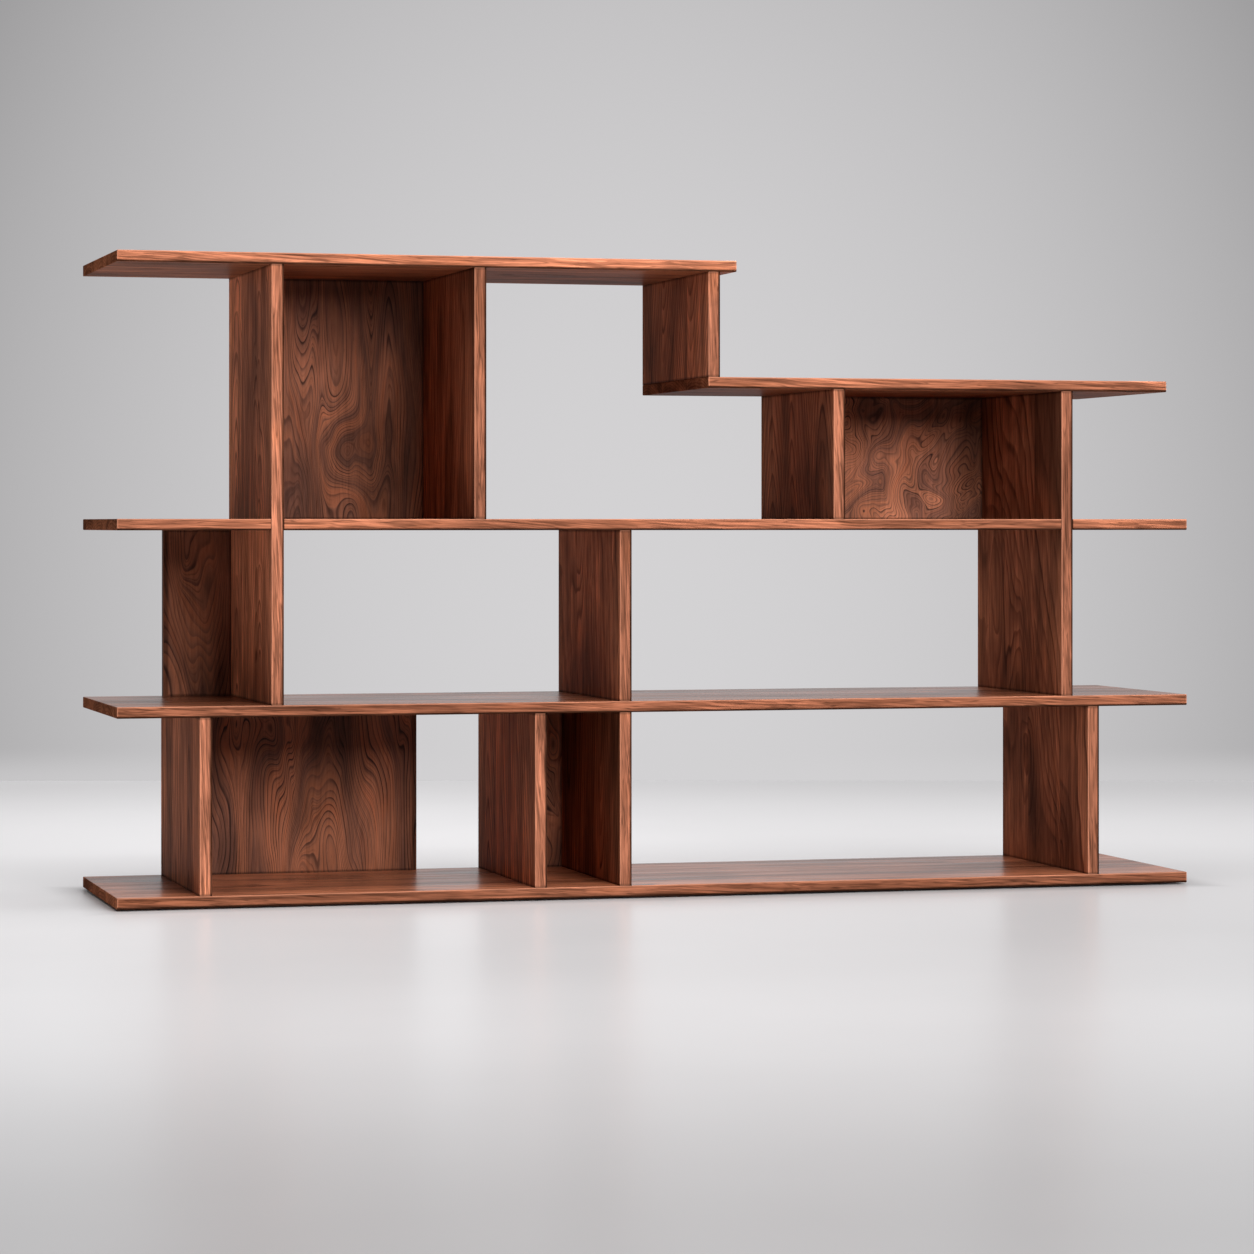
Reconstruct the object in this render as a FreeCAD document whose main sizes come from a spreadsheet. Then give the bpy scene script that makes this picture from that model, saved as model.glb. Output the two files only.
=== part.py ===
"""Staircase bookshelf in walnut.

Five shelves are carried by ten uprights, and five back panels brace them. Uprights meet shelves on
hidden loose tenons, back panels are housed in stopped grooves, and the two tall uprights cross the
middle shelf in cross-halving joints, so that their front edges run unbroken from shelf to shelf.

Lengths are millimetres. +X runs along the shelves, +Y to the back and +Z up, and the origin lies on
the floor under the middle of the base shelf. Boards are laid out from the left end, the front edge
and the floor, and each body's Placement moves them to the origin.
"""

import FreeCAD
import Part
import Sketcher
import os

DIMENSIONS = (
    ("overall_length", 1800, "length of the base, lower and middle shelves"),
    ("shelf_depth", 400, "front edge to back edge of every shelf and upright"),
    ("shelf_thickness", 18, "planed thickness of the shelves"),
    ("upright_thickness", 20, "planed thickness of the uprights"),
    ("edge_radius", 1.5, "easing of the long edges that a hand meets"),
    ("base_bay_height", 280, "clear height from base shelf to lower shelf"),
    ("middle_bay_height", 276, "clear height from lower shelf to middle shelf"),
    ("step_bay_height", 213, "clear height from middle shelf to step shelf"),
    ("top_bay_height", 402, "clear height from middle shelf to top shelf"),
    ("top_shelf_length", 1010, "length of the top shelf, from the left end"),
    ("top_overhang", 28, "right end of the top shelf past the step upright"),
    ("step_setback", 37, "right end of the step shelf, in from the right end of the base"),
    ("base_left_overhang", 130, "left end of the base past its left upright"),
    ("base_left_bay_width", 522, "clear width from the base's left upright to its inner one"),
    ("narrow_bay_width", 121, "clear width from the base's inner upright to the centre one"),
    ("base_right_overhang", 158, "right end of the base past its right upright"),
    ("tall_left_overhang", 244, "left end of the lower shelf past the left tall upright"),
    ("tall_right_overhang", 205, "right end of the lower shelf past the right tall upright"),
    ("upper_left_bay_width", 308, "clear width from the left tall upright to the upper left one"),
    ("upper_right_inset", 214, "left end of the step shelf to the upper right upright"),
    ("base_panel_gap", 112, "free edge of the base's left back panel to the inner upright"),
    ("panel_thickness", 15, "thickness of the back panels"),
    ("panel_back_inset", 8, "back edge of a shelf to the back face of a panel"),
    ("groove_depth", 6, "depth of the grooves that house the panels"),
    ("panel_fit", 0.2, "clearance of a panel on each side in its groove"),
    ("lap_depth", 200, "depth of the middle shelf's slots at the tall uprights"),
    ("lap_fit", 0.1, "clearance on each side of a cross-halving joint"),
    ("tenon_thickness", 8, "thickness of the loose tenons"),
    ("tenon_width", 40, "width of the loose tenons, front to back"),
    ("tenon_length", 34, "length of the loose tenons, top to bottom"),
    ("tenon_shelf_reach", 11, "length of a loose tenon that is in the shelf"),
    ("tenon_chamfer", 1, "lead-in chamfer on both ends of a loose tenon"),
    ("tenon_fit", 0.1, "clearance on each side of a loose tenon, filled with glue"),
    ("tenon_end_gap", 1, "room for glue past each end of a loose tenon"),
    ("tenon_edge_distance", 50, "board edge to the nearest side of a loose tenon"),
    ("tenon_spacing", 12, "offset between tenons in a shelf's top face and in its underside"),
    ("pad_diameter", 24, "diameter of the felt pads"),
    ("pad_thickness", 3, "thickness of the felt pads"),
    ("pad_edge_distance", 40, "edge of the base shelf to a pad's axis"),
    ("cut_overrun", 2, "how far a cut runs past the face where it is open"),
)
PAD_COLUMNS = 5

doc = FreeCAD.newDocument("StaircaseBookshelf")


class Size:
    """A length tied to the sheet: the expression that gives it, and its value at the moment."""

    def __init__(self, text, value):
        self.text = text
        self.value = value

    def __add__(self, other):
        return Size(f"({self.text} + {other.text})", self.value + other.value)

    def __sub__(self, other):
        return Size(f"({self.text} - {other.text})", self.value - other.value)

    def __truediv__(self, number):
        return Size(f"({self.text} / {number})", self.value / number)

    def __mul__(self, number):
        return Size(f"({self.text} * {number})", self.value * number)


def fill_sheet():
    """Writes the driving dimensions to a spreadsheet and returns each one by its alias."""
    sheet = doc.addObject("Spreadsheet::Sheet", "Sizes")
    for row, (alias, length, meaning) in enumerate(DIMENSIONS, start=1):
        sheet.set(f"A{row}", meaning)
        sheet.set(f"B{row}", str(length))
        sheet.setAlias(f"B{row}", alias)
    doc.recompute()
    return {alias: Size(f"Sizes.{alias}", float(sheet.get(alias))) for alias, _, _ in DIMENSIONS}


S = fill_sheet()
ZERO = Size("0", 0.0)

# Left faces of the uprights, from the left end
BASE_LEFT = S["base_left_overhang"]
BASE_INNER = BASE_LEFT + S["upright_thickness"] + S["base_left_bay_width"]
CENTRE = BASE_INNER + S["upright_thickness"] + S["narrow_bay_width"]
BASE_RIGHT = S["overall_length"] - S["base_right_overhang"] - S["upright_thickness"]
TALL_LEFT = S["tall_left_overhang"]
TALL_RIGHT = S["overall_length"] - S["tall_right_overhang"] - S["upright_thickness"]
UPPER_LEFT = TALL_LEFT + S["upright_thickness"] + S["upper_left_bay_width"]
STEP_LEFT = S["top_shelf_length"] - S["top_overhang"] - S["upright_thickness"]
UPPER_RIGHT = STEP_LEFT + S["upper_right_inset"]

# Heights of the shelves' undersides and top faces above the floor
BASE_BOTTOM = S["pad_thickness"]
BASE_TOP = BASE_BOTTOM + S["shelf_thickness"]
LOWER_BOTTOM = BASE_TOP + S["base_bay_height"]
LOWER_TOP = LOWER_BOTTOM + S["shelf_thickness"]
MIDDLE_BOTTOM = LOWER_TOP + S["middle_bay_height"]
MIDDLE_TOP = MIDDLE_BOTTOM + S["shelf_thickness"]
STEP_BOTTOM = MIDDLE_TOP + S["step_bay_height"]
STEP_TOP = STEP_BOTTOM + S["shelf_thickness"]
TOP_BOTTOM = MIDDLE_TOP + S["top_bay_height"]

# Each shelf: left end, length and height of the underside
SHELVES = {
    "base_shelf": (ZERO, S["overall_length"], BASE_BOTTOM),
    "lower_shelf": (ZERO, S["overall_length"], LOWER_BOTTOM),
    "middle_shelf": (ZERO, S["overall_length"], MIDDLE_BOTTOM),
    "step_shelf": (STEP_LEFT, S["overall_length"] - S["step_setback"] - STEP_LEFT, STEP_BOTTOM),
    "top_shelf": (ZERO, S["top_shelf_length"], TOP_BOTTOM),
}

# Each upright: left face, the shelf that it stands on and the shelf that it carries
UPRIGHTS = {
    "base_upright_left": (BASE_LEFT, "base_shelf", "lower_shelf"),
    "base_upright_inner": (BASE_INNER, "base_shelf", "lower_shelf"),
    "base_upright_centre": (CENTRE, "base_shelf", "lower_shelf"),
    "base_upright_right": (BASE_RIGHT, "base_shelf", "lower_shelf"),
    "middle_upright_centre": (CENTRE, "lower_shelf", "middle_shelf"),
    "tall_upright_left": (TALL_LEFT, "lower_shelf", "top_shelf"),
    "tall_upright_right": (TALL_RIGHT, "lower_shelf", "step_shelf"),
    "upper_upright_left": (UPPER_LEFT, "middle_shelf", "top_shelf"),
    "upper_upright_right": (UPPER_RIGHT, "middle_shelf", "step_shelf"),
    "step_upright": (STEP_LEFT, "step_shelf", "top_shelf"),
}
TALL_UPRIGHTS = ("tall_upright_left", "tall_upright_right")

# Each back panel: what bounds it on the left and on the right, and the shelves below and above it.
# A bound is the upright that houses that edge, or the place of a free edge.
PANELS = {
    "base_back_panel_left": (
        "base_upright_left",
        BASE_INNER - S["base_panel_gap"],
        "base_shelf",
        "lower_shelf",
    ),
    "base_back_panel_centre": (
        "base_upright_inner",
        "base_upright_centre",
        "base_shelf",
        "lower_shelf",
    ),
    "middle_back_panel_left": (BASE_LEFT, "tall_upright_left", "lower_shelf", "middle_shelf"),
    "upper_back_panel_left": (
        "tall_upright_left",
        "upper_upright_left",
        "middle_shelf",
        "top_shelf",
    ),
    "upper_back_panel_right": (
        "upper_upright_right",
        "tall_upright_right",
        "middle_shelf",
        "step_shelf",
    ),
}

GROOVE_FRONT = S["shelf_depth"] - S["panel_back_inset"] - S["panel_thickness"] - S["panel_fit"]
GROOVE_BACK = S["shelf_depth"] - S["panel_back_inset"] + S["panel_fit"]
TONGUE = S["groove_depth"] - S["panel_fit"]
SHELF_MORTISE_DEPTH = S["tenon_shelf_reach"] + S["tenon_end_gap"]
UPRIGHT_MORTISE_DEPTH = S["tenon_length"] - S["tenon_shelf_reach"] + S["tenon_end_gap"]
TENON_INSET = (S["upright_thickness"] - S["tenon_thickness"]) / 2
ALONG_Z = FreeCAD.Vector(0, 0, 1)


def shelf_bottom(shelf):
    """Height of a shelf's underside."""
    return SHELVES[shelf][2]


def shelf_top(shelf):
    """Height of a shelf's top face."""
    return SHELVES[shelf][2] + S["shelf_thickness"]


def panel_span(panel):
    """The visible left and right ends of a back panel, and whether each is housed in an upright."""
    left, right = PANELS[panel][:2]
    left_housed = isinstance(left, str)
    right_housed = isinstance(right, str)
    left_end = UPRIGHTS[left][0] + S["upright_thickness"] if left_housed else left
    right_end = UPRIGHTS[right][0] if right_housed else right
    return left_end, right_end, left_housed, right_housed


def tenon_rows(in_top_face):
    """Distances from the front edge to the front sides of the two loose tenons of a joint.

    Tenons in a shelf's top face are staggered from those in its underside, so that two uprights can
    stand in line above and below a shelf.
    """
    front = S["tenon_edge_distance"]
    if in_top_face:
        front = front + S["tenon_width"] + S["tenon_spacing"]
    return front, S["shelf_depth"] - front - S["tenon_width"]


def sketch_on(body, role, offset=ZERO):
    """A sketch on one of the body's origin planes, moved along the plane's normal."""
    sketch = body.newObject("Sketcher::SketchObject", "Sketch")
    plane = next(feature for feature in body.Origin.OriginFeatures if feature.Role == role)
    sketch.AttachmentSupport = (plane, [""])
    sketch.MapMode = "FlatFace"
    sketch.setExpression("AttachmentOffset.Base.z", offset.text)
    return sketch


def place_point(sketch, geometry, point, across, up):
    """Ties a point of a sketch to its distances from the sketch's origin."""
    for kind, size in (("DistanceX", across), ("DistanceY", up)):
        constraint = Sketcher.Constraint(kind, -1, 1, geometry, point, size.value)
        sketch.setExpression(f"Constraints[{sketch.addConstraint(constraint)}]", size.text)


def add_rectangle(sketch, low, high):
    """Draws a rectangle between two corners, each given as (across, up)."""
    corners = [low, (high[0], low[1]), high, (low[0], high[1])]
    points = [FreeCAD.Vector(across.value, up.value, 0) for across, up in corners]
    lines = [
        sketch.addGeometry(Part.LineSegment(start, end))
        for start, end in zip(points, points[1:] + points[:1])
    ]
    for line, following in zip(lines, lines[1:] + lines[:1]):
        sketch.addConstraint(Sketcher.Constraint("Coincident", line, 2, following, 1))
    for line, kind in zip(lines, ("Horizontal", "Vertical", "Horizontal", "Vertical")):
        sketch.addConstraint(Sketcher.Constraint(kind, line))
    place_point(sketch, lines[0], 1, *low)
    place_point(sketch, lines[2], 1, *high)


def add_circle(sketch, across, up, radius):
    """Draws a circle round a centre."""
    centre = FreeCAD.Vector(across.value, up.value, 0)
    circle = sketch.addGeometry(Part.Circle(centre, ALONG_Z, radius.value))
    place_point(sketch, circle, 3, across, up)
    constraint = sketch.addConstraint(Sketcher.Constraint("Radius", circle, radius.value))
    sketch.setExpression(f"Constraints[{constraint}]", radius.text)


def pad(body, sketch, length):
    """Pads a sketch along its normal."""
    feature = body.newObject("PartDesign::Pad", "Pad")
    feature.Profile = sketch
    feature.setExpression("Length", length.text)
    doc.recompute()
    return feature


def pocket(body, sketch, depth, along_normal=False):
    """Cuts a sketch into the body, against the sketch's normal or along it, and checks that it cut."""
    volume_before = body.Shape.Volume
    feature = body.newObject("PartDesign::Pocket", "Pocket")
    feature.Profile = sketch
    feature.Reversed = along_normal
    feature.setExpression("Length", depth.text)
    doc.recompute()
    if not body.Shape.Volume < volume_before:
        raise RuntimeError(f"a pocket of {body.Label} cut nothing")
    return feature


def runs_up(edge):
    """Whether an edge runs straight up."""
    return abs(edge.tangentAt(edge.FirstParameter).dot(ALONG_Z)) > 1 - Part.Precision.confusion()


def upright_edges(base):
    """Names of the edges of a feature that run straight up."""
    return [f"Edge{n}" for n, edge in enumerate(base.Shape.Edges, start=1) if runs_up(edge)]


def level_edges(base):
    """Names of the edges of a feature that lie level."""
    return [f"Edge{n}" for n, edge in enumerate(base.Shape.Edges, start=1) if not runs_up(edge)]


def ease_edges(body, base, names):
    """Rounds the named edges of a feature."""
    feature = body.newObject("PartDesign::Fillet", "EasedEdges")
    feature.Base = (base, names)
    feature.setExpression("Radius", S["edge_radius"].text)
    doc.recompute()
    return feature


def new_board(label, left, front, bottom, length, depth, height):
    """A body with a rectangular board, placed by its lowest left front corner."""
    body = doc.addObject("PartDesign::Body", label)
    body.Label = label
    body.setExpression("Placement.Base.x", (left - S["overall_length"] / 2).text)
    body.setExpression("Placement.Base.y", (front - S["shelf_depth"] / 2).text)
    body.setExpression("Placement.Base.z", bottom.text)
    sketch = sketch_on(body, "XY_Plane")
    add_rectangle(sketch, (ZERO, ZERO), (length, depth))
    return body, pad(body, sketch, height)


def mortise_face(body, height, corners, depth, upward):
    """Cuts mortises for loose tenons into a horizontal face, each from its tenon's left front corner."""
    sketch = sketch_on(body, "XY_Plane", height)
    for left, front in corners:
        right = left + S["tenon_thickness"]
        back = front + S["tenon_width"]
        add_rectangle(
            sketch,
            (left - S["tenon_fit"], front - S["tenon_fit"]),
            (right + S["tenon_fit"], back + S["tenon_fit"]),
        )
    pocket(body, sketch, depth, along_normal=upward)


def tenon_corners(shelf, in_top_face):
    """Left front corners of all loose tenons in one face of a shelf, from left end and front edge."""
    end = 1 if in_top_face else 2
    return [
        (upright[0] + TENON_INSET, front)
        for upright in UPRIGHTS.values()
        if upright[end] == shelf
        for front in tenon_rows(in_top_face)
    ]


def groove_shelf(body, shelf, in_top_face):
    """Cuts the stopped grooves for the back panels into one face of a shelf."""
    end = 2 if in_top_face else 3
    height = S["shelf_thickness"] if in_top_face else ZERO
    left = SHELVES[shelf][0]
    for panel, bounds in PANELS.items():
        if bounds[end] != shelf:
            continue
        left_end, right_end, left_housed, right_housed = panel_span(panel)
        start = left_end - (S["groove_depth"] if left_housed else S["panel_fit"])
        stop = right_end + (S["groove_depth"] if right_housed else S["panel_fit"])
        sketch = sketch_on(body, "XY_Plane", height)
        add_rectangle(sketch, (start - left, GROOVE_FRONT), (stop - left, GROOVE_BACK))
        pocket(body, sketch, S["groove_depth"], along_normal=not in_top_face)


def slot_shelf(body):
    """Cuts the middle shelf's slots for the tall uprights, from the front edge."""
    sketch = sketch_on(body, "XY_Plane", S["shelf_thickness"])
    for upright in TALL_UPRIGHTS:
        place = UPRIGHTS[upright][0]
        add_rectangle(
            sketch,
            (place - S["lap_fit"], ZERO - S["cut_overrun"]),
            (place + S["upright_thickness"] + S["lap_fit"], S["lap_depth"] + S["lap_fit"]),
        )
    pocket(body, sketch, S["shelf_thickness"] + S["cut_overrun"])


def make_shelf(label):
    """A shelf with eased edges, slots, grooves and mortises."""
    left, length, bottom = SHELVES[label]
    body, blank = new_board(
        label, left, ZERO, bottom, length, S["shelf_depth"], S["shelf_thickness"]
    )
    ease_edges(body, blank, upright_edges(blank) + level_edges(blank))
    if label == "middle_shelf":
        slot_shelf(body)
    for in_top_face in (False, True):
        groove_shelf(body, label, in_top_face)
        corners = [(across - left, front) for across, front in tenon_corners(label, in_top_face)]
        if corners:
            height = S["shelf_thickness"] if in_top_face else ZERO
            mortise_face(body, height, corners, SHELF_MORTISE_DEPTH, upward=not in_top_face)
    return body


def slot_upright(body, bottom):
    """Cuts a tall upright's slot for the middle shelf, from the back edge."""
    sketch = sketch_on(body, "YZ_Plane")
    add_rectangle(
        sketch,
        (S["lap_depth"], MIDDLE_BOTTOM - S["lap_fit"] - bottom),
        (S["shelf_depth"] + S["cut_overrun"], MIDDLE_TOP + S["lap_fit"] - bottom),
    )
    pocket(body, sketch, S["upright_thickness"] + S["cut_overrun"], along_normal=True)


def groove_upright(body, label, bottom):
    """Cuts the grooves for the back panels that this upright houses, open at both ends."""
    for bounds in PANELS.values():
        below = shelf_top(bounds[2]) - S["cut_overrun"] - bottom
        above = shelf_bottom(bounds[3]) + S["cut_overrun"] - bottom
        for in_right_face in (True, False):
            if bounds[0 if in_right_face else 1] != label:
                continue
            face = S["upright_thickness"] if in_right_face else ZERO
            sketch = sketch_on(body, "YZ_Plane", face)
            add_rectangle(sketch, (GROOVE_FRONT, below), (GROOVE_BACK, above))
            pocket(body, sketch, S["groove_depth"], along_normal=not in_right_face)


def make_upright(label):
    """An upright with eased long edges, a slot where it is tall, grooves and mortises."""
    left, stands_on, carries = UPRIGHTS[label]
    bottom = shelf_top(stands_on)
    height = shelf_bottom(carries) - bottom
    body, blank = new_board(
        label, left, ZERO, bottom, S["upright_thickness"], S["shelf_depth"], height
    )
    ease_edges(body, blank, upright_edges(blank))
    if label in TALL_UPRIGHTS:
        slot_upright(body, bottom)
    groove_upright(body, label, bottom)
    for at_foot in (True, False):
        corners = [(TENON_INSET, front) for front in tenon_rows(at_foot)]
        face = ZERO if at_foot else height
        mortise_face(body, face, corners, UPRIGHT_MORTISE_DEPTH, upward=at_foot)
    return body


def make_panel(label):
    """A back panel with tongues in the grooves round it, eased along any edge that is free."""
    left_end, right_end, left_housed, right_housed = panel_span(label)
    below, above = PANELS[label][2:]
    start = left_end - TONGUE if left_housed else left_end
    stop = right_end + TONGUE if right_housed else right_end
    front = GROOVE_FRONT + S["panel_fit"]
    bottom = shelf_top(below) - TONGUE
    height = shelf_bottom(above) + TONGUE - bottom
    body, blank = new_board(
        label, start, front, bottom, stop - start, S["panel_thickness"], height
    )
    if left_housed and right_housed:
        return body
    free_end = stop - start if left_housed else ZERO
    names = [
        f"Edge{n}"
        for n, edge in enumerate(blank.Shape.Edges, start=1)
        if runs_up(edge) and abs(edge.Vertexes[0].X - free_end.value) < S["edge_radius"].value
    ]
    ease_edges(body, blank, names)
    return body


def make_tenon():
    """A loose tenon that stands on its body's origin, with a lead-in chamfer round both ends."""
    body = doc.addObject("PartDesign::Body", "tenon")
    sketch = sketch_on(body, "XY_Plane")
    add_rectangle(sketch, (ZERO, ZERO), (S["tenon_thickness"], S["tenon_width"]))
    blank = pad(body, sketch, S["tenon_length"])
    feature = body.newObject("PartDesign::Chamfer", "LeadIn")
    feature.Base = (blank, level_edges(blank))
    feature.setExpression("Size", S["tenon_chamfer"].text)
    doc.recompute()
    return body


def make_pad_disc():
    """A felt pad that stands on its body's origin."""
    body = doc.addObject("PartDesign::Body", "pad_disc")
    sketch = sketch_on(body, "XY_Plane")
    add_circle(sketch, ZERO, ZERO, S["pad_diameter"] / 2)
    pad(body, sketch, S["pad_thickness"])
    return body


def make_group(label, piece, places):
    """One part of several loose copies of a piece, at places from left end, front edge and floor."""
    copies = []
    for place in places:
        copy = piece.Shape.copy()
        copy.translate(FreeCAD.Vector(*(size.value for size in place)))
        copies.append(copy)
    group = doc.addObject("Part::Feature", label)
    group.Label = label
    group.Shape = Part.makeCompound(copies)
    group.setExpression("Placement.Base.x", (ZERO - S["overall_length"] / 2).text)
    group.setExpression("Placement.Base.y", (ZERO - S["shelf_depth"] / 2).text)
    return group


def make_tenons():
    """The loose tenons, one group for each face of a shelf that uprights meet."""
    tenon = make_tenon()
    groups = []
    for shelf in SHELVES:
        for in_top_face in (False, True):
            corners = tenon_corners(shelf, in_top_face)
            if not corners:
                continue
            if in_top_face:
                foot = shelf_top(shelf) - S["tenon_shelf_reach"]
            else:
                foot = shelf_bottom(shelf) + S["tenon_shelf_reach"] - S["tenon_length"]
            face = "top" if in_top_face else "underside"
            places = [(left, front, foot) for left, front in corners]
            groups.append(make_group(f"tenons_{shelf}_{face}", tenon, places))
    return groups


def make_pads():
    """Felt pads under the base shelf, in a front row and a back row."""
    pad_disc = make_pad_disc()
    edge = S["pad_edge_distance"]
    spacing = (S["overall_length"] - edge * 2) / (PAD_COLUMNS - 1)
    places = [
        (edge + spacing * column, back, ZERO)
        for column in range(PAD_COLUMNS)
        for back in (edge, S["shelf_depth"] - edge)
    ]
    return make_group("felt_pads", pad_disc, places)


def check(parts):
    """Stops if an object failed to recompute, or a part's shape is missing or not valid."""
    doc.recompute()
    for item in doc.Objects:
        if "Invalid" in item.State or "Error" in item.State:
            raise RuntimeError(f"{item.Label} failed: {item.State}")
    for part in parts:
        if part.Shape.isNull() or not part.Shape.isValid() or not part.Shape.Solids:
            raise RuntimeError(f"{part.Label} has no valid solid")


def main():
    """Builds every part, checks them and writes one STEP file for each."""
    parts = [make_shelf(label) for label in SHELVES]
    parts += [make_upright(label) for label in UPRIGHTS]
    parts += [make_panel(label) for label in PANELS]
    parts += make_tenons()
    parts.append(make_pads())
    check(parts)
    os.makedirs("parts", exist_ok=True)
    for part in parts:
        part.Shape.exportStep(os.path.join("parts", f"{part.Label}.step"))
        print(part.Label, len(part.Shape.Solids), "solids", round(part.Shape.Volume), "mm3")


main()
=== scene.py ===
"""Dresses the staircase bookshelf: figured walnut boards, beech tenons and felt pads in a pale studio.

The boards keep their machined shapes. Each gets a walnut of its own: growth rings that the board's faces
cut, staves glued edge to edge, and knots where the photographed board has them. Lengths are in metres.
"""

import logging
import math
from dataclasses import dataclass, field
from enum import Enum

import bpy
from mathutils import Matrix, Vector


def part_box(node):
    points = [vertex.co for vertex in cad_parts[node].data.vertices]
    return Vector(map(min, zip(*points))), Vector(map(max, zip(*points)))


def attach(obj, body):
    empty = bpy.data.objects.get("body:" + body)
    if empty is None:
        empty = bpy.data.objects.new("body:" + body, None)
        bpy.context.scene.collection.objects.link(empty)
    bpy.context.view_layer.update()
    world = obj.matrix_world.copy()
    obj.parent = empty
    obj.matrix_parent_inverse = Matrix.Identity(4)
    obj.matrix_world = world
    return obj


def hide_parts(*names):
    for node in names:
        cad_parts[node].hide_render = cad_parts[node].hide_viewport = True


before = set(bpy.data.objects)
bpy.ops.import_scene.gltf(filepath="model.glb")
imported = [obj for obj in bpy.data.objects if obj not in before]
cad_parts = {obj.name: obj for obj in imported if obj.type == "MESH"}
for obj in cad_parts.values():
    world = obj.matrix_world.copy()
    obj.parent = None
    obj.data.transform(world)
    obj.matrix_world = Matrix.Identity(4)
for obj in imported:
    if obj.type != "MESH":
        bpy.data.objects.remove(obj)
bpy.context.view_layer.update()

Colour = tuple[float, float, float]
Triple = tuple[float, float, float]
Pair = tuple[float, float]
Fade = tuple[float, float, float, float]
Socket = bpy.types.NodeSocket
Sockets = bpy.types.bpy_prop_collection
Value = Socket | float | Vector | tuple
LOG = logging.getLogger("bookshelf")
BODY = "root"
UP = (0.0, 0.0, 1.0)
WHITE = (1.0, 1.0, 1.0)
HALF = 0.5
RIGHT_ANGLE = 90.0
SMOOTH_OCTAVES = 1.0
FINE_OCTAVES = 3.0
WOOD_COLOURS = ("early_wood", "late_wood", "red_heart", "dark_heart", "ring_line")
WOOD_NUMBERS = (
    "stave_width", "ring_width", "flow_scale", "flow", "ripple", "line", "line_start", "fibre", "patch",
    "patch_scale",
)
FIGURE_NUMBERS = (
    "seed", "stray", "pith_side", "pith_depth", "taper", "burl", "burl_scale", "burl_twist",
)


class Cut(Enum):
    """How a board is cut from the tree: the frame's axes along, across and through its grain."""

    SHELF = ("X", "Y", "Z")
    UPRIGHT = ("Z", "Y", "X")
    PANEL = ("Z", "X", "Y")


@dataclass(frozen=True)
class Knot:
    """A soft hill on a board, for a knot or a dark cloud, measured from the board's middle."""

    along: float
    across: float
    length: float
    width: float
    rise: float


@dataclass(frozen=True)
class Figure:
    """Where one board lay in the tree, which decides the pattern of its faces; shade is its tone and
    partly painted light, front is painted light on its narrow faces.
    """

    seed: float
    pith_side: float = 0.0
    pith_depth: float = 0.03
    taper: float = 0.1
    warp: float = 1.0
    stray: float = 0.0
    burl: float = 0.0
    burl_scale: Triple = (9.0, 7.0, 7.0)
    burl_twist: float = 1.4
    rings: float = 1.0
    shade: float = 1.0
    front: float = 0.75
    knots: tuple[Knot, ...] = ()
    clouds: tuple[Knot, ...] = ()
    crossed_by: tuple[str, ...] = ()


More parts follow.
